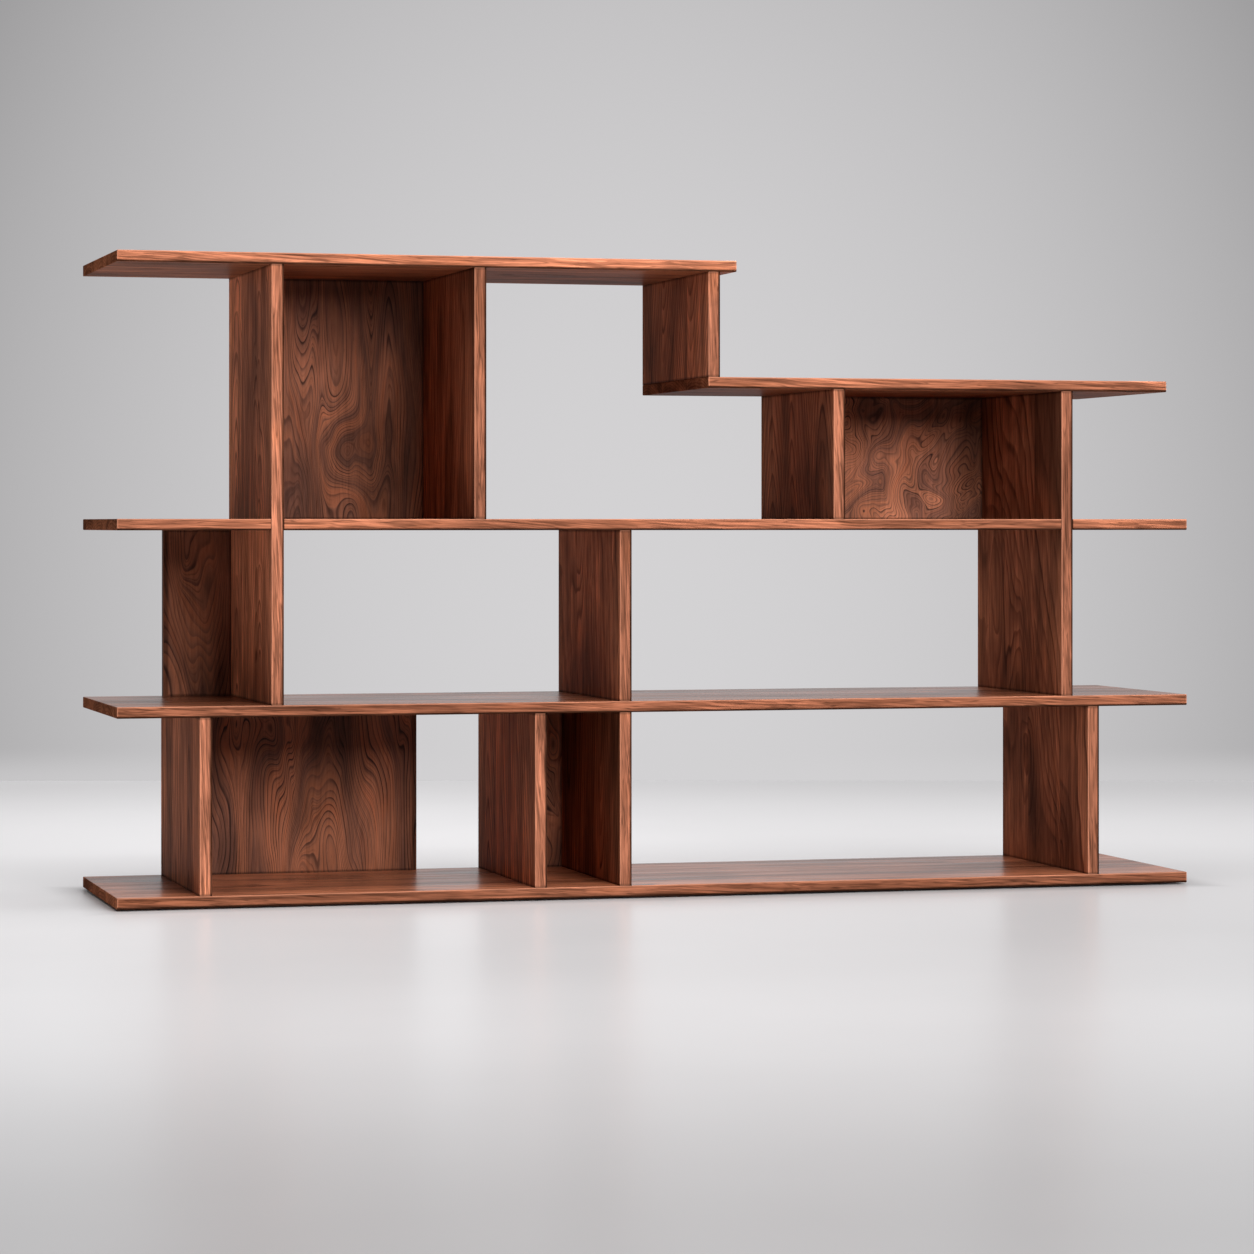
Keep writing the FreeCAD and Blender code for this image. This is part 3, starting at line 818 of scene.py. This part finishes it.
@dataclass(frozen=True)
class FeltFinish:
    """Pressed wool felt, its colours as linear light."""

    wool: Colour = (0.05, 0.045, 0.04)
    pale_wool: Colour = (0.11, 0.1, 0.09)
    hair_scale: Triple = (900.0, 900.0, 2200.0)
    clump_scale: Triple = (260.0, 260.0, 400.0)
    hair_twist: float = 2.5
    hair_shows: Pair = (0.45, 0.7)
    clump_shows: Fade = (0.3, 0.7, 0.4, 1.0)
    rough_hair: Pair = (0.2, 0.8)
    rough_from: float = 0.85
    relief: float = 0.0003
    sheen: float = 0.35
    seed: float = 83.0

    def material(self) -> bpy.types.Material:
        """Makes the felt.

        Returns:
            The material.
        """
        material, g, shader = start_material("felt")
        place = g.add("TexCoord").outputs["Object"]
        hair = g.noise(place, self.hair_scale, self.seed, FINE_OCTAVES, self.hair_twist)["Fac"]
        clump = g.noise(place, self.clump_scale, self.seed)["Fac"]
        loose = g.times(g.fade(hair, *self.hair_shows), g.fade(clump, *self.clump_shows))
        bump = g.add("Bump")
        g.fill(bump, Distance=self.relief, Height=g.ramp(clump, HALF, hair))
        g.fill(
            shader,
            Base_Color=g.blend(loose, self.wool, self.pale_wool),
            Roughness=g.fade(hair, *self.rough_hair, self.rough_from, 1.0),
            Specular_IOR_Level=0.0,
            Sheen_Weight=self.sheen,
            Normal=bump.outputs[0],
        )
        return material


@dataclass
class Boards:
    """Boards of one kind, with the figure of each by its node's name."""

    cut: Cut
    finish: WalnutFinish
    figures: dict[str, Figure]

    def dress(self, shop: Workshop) -> None:
        """Dresses every board of this kind with the shared shader groups."""
        for name, figure in self.figures.items():
            self.finish.dress(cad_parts[name], self.cut, figure, shop)


PLAIN = {"taper": 0.012, "warp": 0.35, "stray": 0.06}
TALL = ("tall_upright_left", "tall_upright_right")
# shade is each board's tone and partly painted light; front is painted light on its narrow faces
SHELF_FIGURES: dict[str, Figure] = {
    "base_shelf": Figure(3.1, -0.05, 0.16, **PLAIN, shade=1.45, front=0.41),
    "lower_shelf": Figure(5.7, 0.04, 0.15, **PLAIN, shade=0.9, front=0.88),
    "middle_shelf": Figure(8.2, 0.0, 0.17, **PLAIN, shade=0.9, front=0.83, crossed_by=TALL),
    "step_shelf": Figure(11.4, 0.03, 0.15, **PLAIN, shade=0.85, front=0.92),
    "top_shelf": Figure(14.9, -0.04, 0.16, **PLAIN, shade=0.9, front=1.35),
}


BASE_FLAMES = (Knot(0.05, 0.076, 0.13, 0.045, -0.06), Knot(-0.15, -0.052, 0.1, 0.045, -0.05))
TALL_FLAMES = (Knot(-0.25, 0.0, 0.16, 0.05, -0.06), Knot(-0.05, 0.09, 0.14, 0.045, -0.05))
MIDDLE_FLAMES = (Knot(0.14, 0.05, 0.16, 0.05, -0.05),)
UPRIGHT_FIGURES: dict[str, Figure] = {
    "base_upright_left": Figure(21.3, taper=0.12, stray=0.2, shade=1.55, front=0.81),
    "base_upright_inner": Figure(24.8, taper=0.12, stray=0.2, shade=1.65, front=0.73),
    "base_upright_centre": Figure(27.1, taper=-0.12, stray=0.2, shade=1.0, front=1.2),
    "base_upright_right": Figure(
        30.6, 0.1, 0.3, taper=0.1, stray=0.1, burl=0.008, shade=1.22, front=0.6, knots=BASE_FLAMES
    ),
    "middle_upright_centre": Figure(
        33.2, 0.1, 0.2, taper=0.05, stray=0.16, burl=0.01, shade=1.3, front=0.42, knots=MIDDLE_FLAMES
    ),
    "tall_upright_left": Figure(36.7, taper=0.15, stray=0.2, burl=0.03, shade=2.05, front=0.55),
    "tall_upright_right": Figure(
        39.5, 0.1, 0.3, taper=0.1, stray=0.12, burl=0.008, shade=1.16, front=0.75, knots=TALL_FLAMES
    ),
    "upper_upright_left": Figure(42.9, taper=0.15, stray=0.2, shade=0.98, front=0.8),
    "upper_upright_right": Figure(45.3, taper=0.2, stray=0.2, shade=1.35, front=0.68),
    "step_upright": Figure(48.8, taper=-0.2, stray=0.2, shade=1.35, front=0.6),
}


UPPER_LEFT_KNOTS = (
    Knot(0.19, -0.058, 0.22, 0.024, 0.05),
    Knot(0.22, 0.06, 0.26, 0.022, 0.05),
    Knot(-0.084, 0.02, 0.055, 0.045, 0.07),
)
UPPER_LEFT_CLOUDS = (Knot(-0.06, 0.02, 0.06, 0.06, 0.3), Knot(0.08, 0.064, 0.12, 0.018, 0.35))
UPPER_RIGHT_KNOTS = (Knot(-0.034, 0.019, 0.025, 0.025, 0.025), Knot(0.05, -0.11, 0.05, 0.07, -0.03))
UPPER_RIGHT_CLOUDS = (
    Knot(0.07, -0.03, 0.06, 0.06, 0.3),
    Knot(0.0, 0.17, 0.2, 0.06, 0.6),
    Knot(-0.06, 0.06, 0.05, 0.03, 0.3),
    Knot(-0.09, -0.03, 0.06, 0.07, 0.4),
)
BASE_LEFT_KNOTS = (
    Knot(-0.21, 0.072, 0.24, 0.055, -0.08),
    Knot(-0.2, 0.005, 0.17, 0.035, -0.1),
    Knot(0.1, -0.04, 0.05, 0.04, 0.03),
)
MIDDLE_LEFT_KNOTS = (Knot(0.15, -0.005, 0.18, 0.05, -0.06),)
PANEL_FIGURES: dict[str, Figure] = {
    "base_back_panel_left": Figure(
        52.4, 0.06, 0.08, 0.02, 0.8, burl=0.09, burl_scale=(3.2, 14.0, 14.0), burl_twist=1.0,
        rings=1.05, shade=0.8, knots=BASE_LEFT_KNOTS,
    ),
    "base_back_panel_centre": Figure(
        55.8, 0.02, 0.1, 0.1, 1.0, burl=0.12, burl_scale=(5.0, 13.0, 13.0), shade=1.2
    ),
    "middle_back_panel_left": Figure(
        58.1, -0.005, 0.08, -0.06, 0.5, burl=0.06, burl_scale=(4.0, 14.0, 14.0), shade=1.05,
        knots=MIDDLE_LEFT_KNOTS,
    ),
    "upper_back_panel_left": Figure(
        61.7, -0.2, 0.3, 0.0, 0.8, burl=0.13, burl_scale=(1.7, 15.0, 15.0), burl_twist=0.5,
        rings=0.9, shade=0.76, knots=UPPER_LEFT_KNOTS, clouds=UPPER_LEFT_CLOUDS,
    ),
    "upper_back_panel_right": Figure(
        64.2, 0.3, 0.1, 0.45, 1.6, burl=0.3, burl_scale=(7.0, 8.0, 8.0), burl_twist=2.2,
        rings=1.9, shade=1.5, knots=UPPER_RIGHT_KNOTS, clouds=UPPER_RIGHT_CLOUDS,
    ),
}


@dataclass
class Shelves(Boards):
    """The five shelves, polished on top, with painted shade along the lower front edge."""

    cut: Cut = Cut.SHELF
    finish: WalnutFinish = WalnutFinish(
        ring_width=0.0055, polish=1.0, line=0.55, shine=0.003, shaded_side=-1.0
    )
    figures: dict[str, Figure] = field(default_factory=SHELF_FIGURES.copy)


@dataclass
class Uprights(Boards):
    """The ten uprights, with painted shade along the right front edge."""

    cut: Cut = Cut.UPRIGHT
    finish: WalnutFinish = WalnutFinish(
        tint=(1.0, 1.03, 1.08), ring_width=0.0125, patch=0.65, line=0.68, line_start=0.66,
        joint_line_and_shade_loss=0.6, flow=0.05, shine=0.0025, shaded_side=1.0,
    )
    figures: dict[str, Figure] = field(default_factory=UPRIGHT_FIGURES.copy)


@dataclass
class BackPanels(Boards):
    """The five back panels, of strongly figured wood in one width."""

    cut: Cut = Cut.PANEL
    finish: WalnutFinish = WalnutFinish(
        early_wood=(0.36, 0.117, 0.057), late_wood=(0.22, 0.085, 0.05), red_heart=(0.42, 0.117, 0.05),
        dark_heart=(0.09, 0.041, 0.03), ring_line=(0.03, 0.014, 0.011), tint=(0.97, 1.06, 1.15),
        stave_width=2.0, ring_width=0.0054, shine=0.05, flow_scale=(3.0, 8.0, 8.0), flow=0.04,
        ripple=0.0015, fibre=0.35, line=1.0, line_start=0.6, hair=0.45, patch=0.5,
        patch_scale=(5.0, 12.0, 12.0), joint_line_and_shade_loss=0.6, tongue=0.006,
    )
    figures: dict[str, Figure] = field(default_factory=PANEL_FIGURES.copy)


@dataclass
class LooseTenons:
    """Beech tenons that hold the butt joints, hidden inside them."""

    finish: BeechFinish = BeechFinish()
    prefix: str = "tenons_"

    def dress(self, shop: Workshop) -> None:
        """Dresses every set of tenons.

        Args:
            shop: the shared shader groups.
        """
        material = self.finish.material(shop)
        for name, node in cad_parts.items():
            if name.startswith(self.prefix):
                give_material(node, material)
                LOG.info("dressed %s", name)


@dataclass
class FeltPads:
    """Pressed felt discs that lift the base shelf off the floor."""

    finish: FeltFinish = FeltFinish()
    name: str = "pressed_felt_pads"
    node: str = "felt_pads"
    slot: str = "felt"
    columns: int = 5
    rows: int = 2
    radius: float = 0.012
    bulge: float = 1.02
    rim: float = 0.0006
    rim_steps: int = 3
    sides: int = 40
    smooth_angle: float = 50.0
    snug: float = 0.00001

    def places(self) -> list[Vector]:
        """Spaces the pads evenly over the corners of their node.

        Returns:
            The middle of each pad.
        """
        low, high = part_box(self.node)
        first = Vector((low.x + self.radius, low.y + self.radius, (low.z + high.z) / 2))
        step = Vector((
            (high.x - low.x - 2 * self.radius) / (self.columns - 1),
            (high.y - low.y - 2 * self.radius) / (self.rows - 1),
            0.0,
        ))
        return [
            first + Vector((column * step.x, row * step.y, 0.0))
            for row in range(self.rows)
            for column in range(self.columns)
        ]

    def model_pad(self, place: Vector) -> bpy.types.Object:
        """Models one pad: a disc with a pressed waist and rounded rims.

        Args:
            place: the pad's middle.

        Returns:
            The pad, its place in its mesh.
        """
        low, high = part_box(self.node)
        bpy.ops.mesh.primitive_cylinder_add(
            vertices=self.sides, radius=self.radius / self.bulge, depth=high.z - low.z, location=place
        )
        pad = bpy.context.object
        bpy.ops.object.transform_apply(location=True, rotation=False, scale=False)
        bpy.ops.object.mode_set(mode="EDIT")
        bpy.ops.mesh.select_all(action="SELECT")
        bpy.ops.mesh.bisect(plane_co=place, plane_no=UP)
        bpy.ops.transform.resize(value=(self.bulge, self.bulge, 1.0), center_override=place)
        bpy.ops.mesh.select_mode(type="EDGE")
        bpy.ops.mesh.select_all(action="DESELECT")
        bpy.ops.object.mode_set(mode="OBJECT")
        for edge in pad.data.edges:
            heights = [pad.data.vertices[end].co.z - place.z for end in edge.vertices]
            edge.select = abs(sum(heights)) > (high.z - low.z) - self.snug
        bpy.ops.object.mode_set(mode="EDIT")
        bpy.ops.mesh.bevel(offset=self.rim, segments=self.rim_steps, affect="EDGES")
        bpy.ops.object.mode_set(mode="OBJECT")
        bpy.ops.object.shade_smooth_by_angle(angle=math.radians(self.smooth_angle))
        return pad

    def build(self) -> None:
        """Models a pad, copies it to every place and joins the set."""
        places = self.places()
        pad = self.model_pad(places[0])
        pads = [pad]
        for place in places[1:]:
            bpy.ops.object.select_all(action="DESELECT")
            pad.select_set(True)
            bpy.context.view_layer.objects.active = pad
            bpy.ops.object.duplicate(linked=False)
            bpy.context.object.location = place - places[0]
            bpy.ops.object.transform_apply(location=True, rotation=False, scale=False)
            pads.append(bpy.context.object)
        for piece in pads:
            piece.select_set(True)
        bpy.context.view_layer.objects.active = pad
        bpy.ops.object.join()
        pad.name = self.name
        give_material(pad, self.finish.material())
        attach(pad, BODY)
        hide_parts(self.node)
        LOG.info("built %s", pad.name)


@dataclass(frozen=True)
class Lamp:
    """A soft square lamp, its power in watts."""

    name: str
    place: Triple
    aim: Triple
    size: Pair
    power: float


LAMPS = (
    Lamp("key_lamp", (1.0, -5.6, 2.3), (0.0, 0.0, 0.5), (2.8, 2.0), 420.0),
    Lamp("top_lamp", (0.0, -0.6, 4.2), (0.0, 0.0, 0.4), (4.0, 2.4), 170.0),
    Lamp("back_lamp", (0.6, 2.2, 2.6), (0.0, 0.0, 0.5), (2.4, 1.2), 35.0),
)


@dataclass
class Studio:
    """Pale floor, backdrop, lamps and the photographed view."""

    lamps: tuple[Lamp, ...] = LAMPS
    floor_colour: Colour = (0.52, 0.513, 0.52)
    floor_rough: float = 0.3
    floor_shine: float = 0.3
    floor_near: Fade = (-3.4, -1.5, 0.5, 1.0)
    floor_tilt: Fade = (-1.0, 1.0, 1.15, 0.81)
    floor_cloud: Fade = (0.2, 0.8, 0.985, 1.015)
    floor_cloud_scale: Triple = (3.0, 3.0, 3.0)
    floor_seed: float = 4.0
    floor_glow: Fade = (-1.5, 1.2, 0.12, 0.385)
    floor_far_glow: Fade = (1.1, 2.75, 1.0, 0.55)
    floor_side_glow: float = 0.3
    shade_reach: float = 0.07
    shade_least: float = 0.05
    wall_bright: float = 0.655
    wall_least: float = 0.3
    wall_tint: Colour = (1.0, 0.985, 1.0)
    wall_side_loss: float = 0.185
    wall_top_loss: float = 0.1
    wall_bright_height: float = 0.45
    wall_fall_height: float = 1.35
    wall_foot: float = 0.085
    wall_foot_gain: Pair = (0.106, 0.004)
    wall_distance: float = 9.35
    wall_height: float = 9.0
    wall_light: float = 0.1
    half_view: float = 1.42
    widest: float = 2.0
    reach: float = 16.0
    world_light: float = 0.2
    world_seen: float = 0.62
    lens: float = 113.96
    sensor: float = 36.0
    camera_place: Triple = (-1.771, -6.38, 0.6055)
    camera_turn: float = 15.345
    camera_shift: float = -0.0824
    camera_far: float = 100.0

    def build(self) -> None:
        """Builds the stage, the lamps and the camera."""
        self.build_floor()
        self.build_wall()
        for lamp in self.lamps:
            self.hang(lamp)
        self.light_world()
        self.aim_camera()

    def view_line(self) -> Vector:
        """Gives the level direction in which the camera looks."""
        turn = math.radians(self.camera_turn)
        return Vector((math.sin(turn), math.cos(turn), 0.0))

    def add_sheet(
        self, name: str, size: Pair, place: Triple, turn: Triple
    ) -> tuple[Graph, bpy.types.Node]:
        """Adds a flat sheet of the stage.

        Args:
            name: the sheet's name.
            size: its width and height.
            place: its middle.
            turn: its turn about the three axes, in degrees.

        Returns:
            The graph of its material and its Principled BSDF.
        """
        angles = [math.radians(angle) for angle in turn]
        bpy.ops.mesh.primitive_plane_add(size=1.0, location=place, rotation=angles)
        sheet = bpy.context.object
        sheet.name = name
        sheet.scale = (*size, 1.0)
        bpy.ops.object.transform_apply(location=False, rotation=False, scale=True)
        material, g, shader = start_material(name)
        give_material(sheet, material)
        return g, shader

    def build_floor(self) -> None:
        """Lays the floor, which darkens towards the viewer and softly meets the wall: painted light
        falloffs, with a painted shadow round the base.
        """
        width = 2 * self.reach
        g, shader = self.add_sheet("studio_floor", (width, width), (0.0, 0.0, 0.0), (0.0, 0.0, 0.0))
        place = g.add("TexCoord").outputs["Object"]
        view = self.view_line()
        away = g.vector("DOT_PRODUCT", place, view)
        side = g.vector("DOT_PRODUCT", place, view.cross(Vector(UP)))
        cloud = g.noise(place, self.floor_cloud_scale, self.floor_seed, FINE_OCTAVES)["Fac"]
        # painted light: the floor colour darkens towards the viewer and to one side
        tones = ((away, self.floor_near), (cloud, self.floor_cloud), (side, self.floor_tilt))
        tone = g.times(*(g.fade(value, *ends) for value, ends in tones))
        colour = g.blend(1.0, self.floor_colour, g.grey(tone), "MULTIPLY")
        shine, rough = self.floor_shine, self.floor_rough
        g.fill(shader, Base_Color=colour, Roughness=rough, Specular_IOR_Level=shine)
        # painted light: the camera-only glow is weak near the viewer, fades towards the wall and grows
        # to the sides; round the base it fades, a painted shadow
        near, far = (g.fade(away, *glows) for glows in (self.floor_glow, self.floor_far_glow))
        sides = g.ramp(self.squared(g, side), self.floor_side_glow, 1.0)
        bright = g.times(near, far, sides, self.clear_of_base(g, place))
        seen = g.add("LightPath").outputs["Is Camera Ray"]
        glow = g.add("Emission", self.floor_colour, g.times(seen, bright))
        both = g.add("AddShader", shader.outputs[0], glow.outputs[0])
        g.fill(g.tree.nodes["Material Output"], Surface=both.outputs[0])

    def clear_of_base(self, g: Graph, place: Socket) -> Socket:
        """Finds the floor that lies clear of the base shelf; towards the base the glow fades, which lets
        the rendered shadow show and paints a soft shadow round it.

        Args:
            g: the floor's graph.
            place: the place on the floor.

        Returns:
            The mask's socket.
        """
        low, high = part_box("base_shelf")
        past = g.vector("SUBTRACT", g.vector("ABSOLUTE", place), (high - low) / 2)
        across, deep, _ = g.split(past)
        return g.fade(g.math("MAXIMUM", across, deep), 0.0, self.shade_reach, self.shade_least, 1.0)

    def squared(self, g: Graph, side: Socket) -> Socket:
        """Squares the place across the view, 1 at the picture's sides and never more than widest."""
        share = g.math("DIVIDE", side, self.half_view)
        return g.math("MINIMUM", g.times(share, share), self.widest)

    def build_wall(self) -> None:
        """Hangs the backdrop square to the view; it can be seen from the front only. Its glow is a
        painted pool of light, brightest in the middle and lighter at its foot.
        """
        foot = Vector(self.camera_place) + self.wall_distance * self.view_line()
        middle = (foot.x, foot.y, self.wall_height / 2)
        size = (2 * self.reach, self.wall_height)
        g, shader = self.add_sheet("studio_wall", size, middle, (RIGHT_ANGLE, 0.0, -self.camera_turn))
        g.tree.nodes.remove(shader)
        side, up, _ = g.split(g.add("TexCoord").outputs["Object"])
        up = g.plus(up, self.wall_height / 2)
        # painted pool of light: the glow is brightest in the middle, fades to the sides and top, and is
        # lighter at the foot
        wide = self.squared(g, side)
        tall = g.minus(up, self.wall_bright_height)
        tall = g.math("DIVIDE", tall, self.wall_fall_height)
        loss = g.times(tall, tall, self.wall_top_loss)
        loss = g.ramp(wide, self.wall_side_loss, loss)
        level = g.math("MAXIMUM", g.minus(self.wall_bright, loss), self.wall_least)
        ramp = g.ramp(wide, *self.wall_foot_gain)
        level = g.ramp(g.fade(up, 0.0, self.wall_foot, 1.0, 0.0), ramp, level)
        path = g.add("LightPath").outputs
        seen = g.math("MAXIMUM", path["Is Camera Ray"], path["Is Glossy Ray"])
        colour = g.vector("MULTIPLY", g.grey(level), self.wall_tint)
        glow = g.add("Emission", colour, g.math("MAXIMUM", seen, self.wall_light))
        behind = g.add("NewGeometry").outputs["Backfacing"]
        clear = g.add("BsdfTransparent")
        mix = g.add("MixShader", behind, glow.outputs[0], clear.outputs[0])
        g.fill(g.tree.nodes["Material Output"], Surface=mix.outputs[0])

    def hang(self, lamp: Lamp) -> None:
        """Hangs a lamp that lights but isn't seen.

        Args:
            lamp: the lamp.
        """
        bpy.ops.object.light_add(type="AREA", location=lamp.place)
        light = bpy.context.object
        light.name = lamp.name
        aim = Vector(lamp.aim) - Vector(lamp.place)
        light.rotation_euler = aim.to_track_quat("-Z", "Y").to_euler()
        light.data.shape = "RECTANGLE"
        light.data.size, light.data.size_y = lamp.size
        light.data.energy = lamp.power
        light.visible_camera = False
        light.visible_glossy = False

    def light_world(self) -> None:
        """Sets the room's even light, which looks paler than it shines."""
        world = bpy.context.scene.world or bpy.data.worlds.new("studio_world")
        bpy.context.scene.world = world
        world.use_nodes = True
        g = Graph(world.node_tree)
        seen = g.add("LightPath").outputs["Is Camera Ray"]
        strength = g.fade(seen, 0.0, 1.0, self.world_light, self.world_seen)
        g.fill(g.tree.nodes["Background"], Color=WHITE, Strength=strength)

    def aim_camera(self) -> None:
        """Puts the camera where the photograph was taken."""
        turn = (math.radians(RIGHT_ANGLE), 0.0, math.radians(-self.camera_turn))
        bpy.ops.object.camera_add(location=self.camera_place, rotation=turn)
        camera = bpy.context.object
        camera.name = "photo_camera"
        camera.data.sensor_width = self.sensor
        camera.data.lens = self.lens
        camera.data.shift_y = self.camera_shift
        camera.data.clip_end = self.camera_far
        bpy.context.scene.camera = camera
        bpy.context.scene.view_settings.view_transform = "Standard"


def main() -> None:
    """Dresses the boards and tenons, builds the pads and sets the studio."""
    logging.basicConfig(level=logging.INFO)
    shop = Workshop()
    for boards in (Shelves(), Uprights(), BackPanels()):
        boards.dress(shop)
    LooseTenons().dress(shop)
    FeltPads().build()
    Studio().build()


if __name__ == "__main__":
    main()
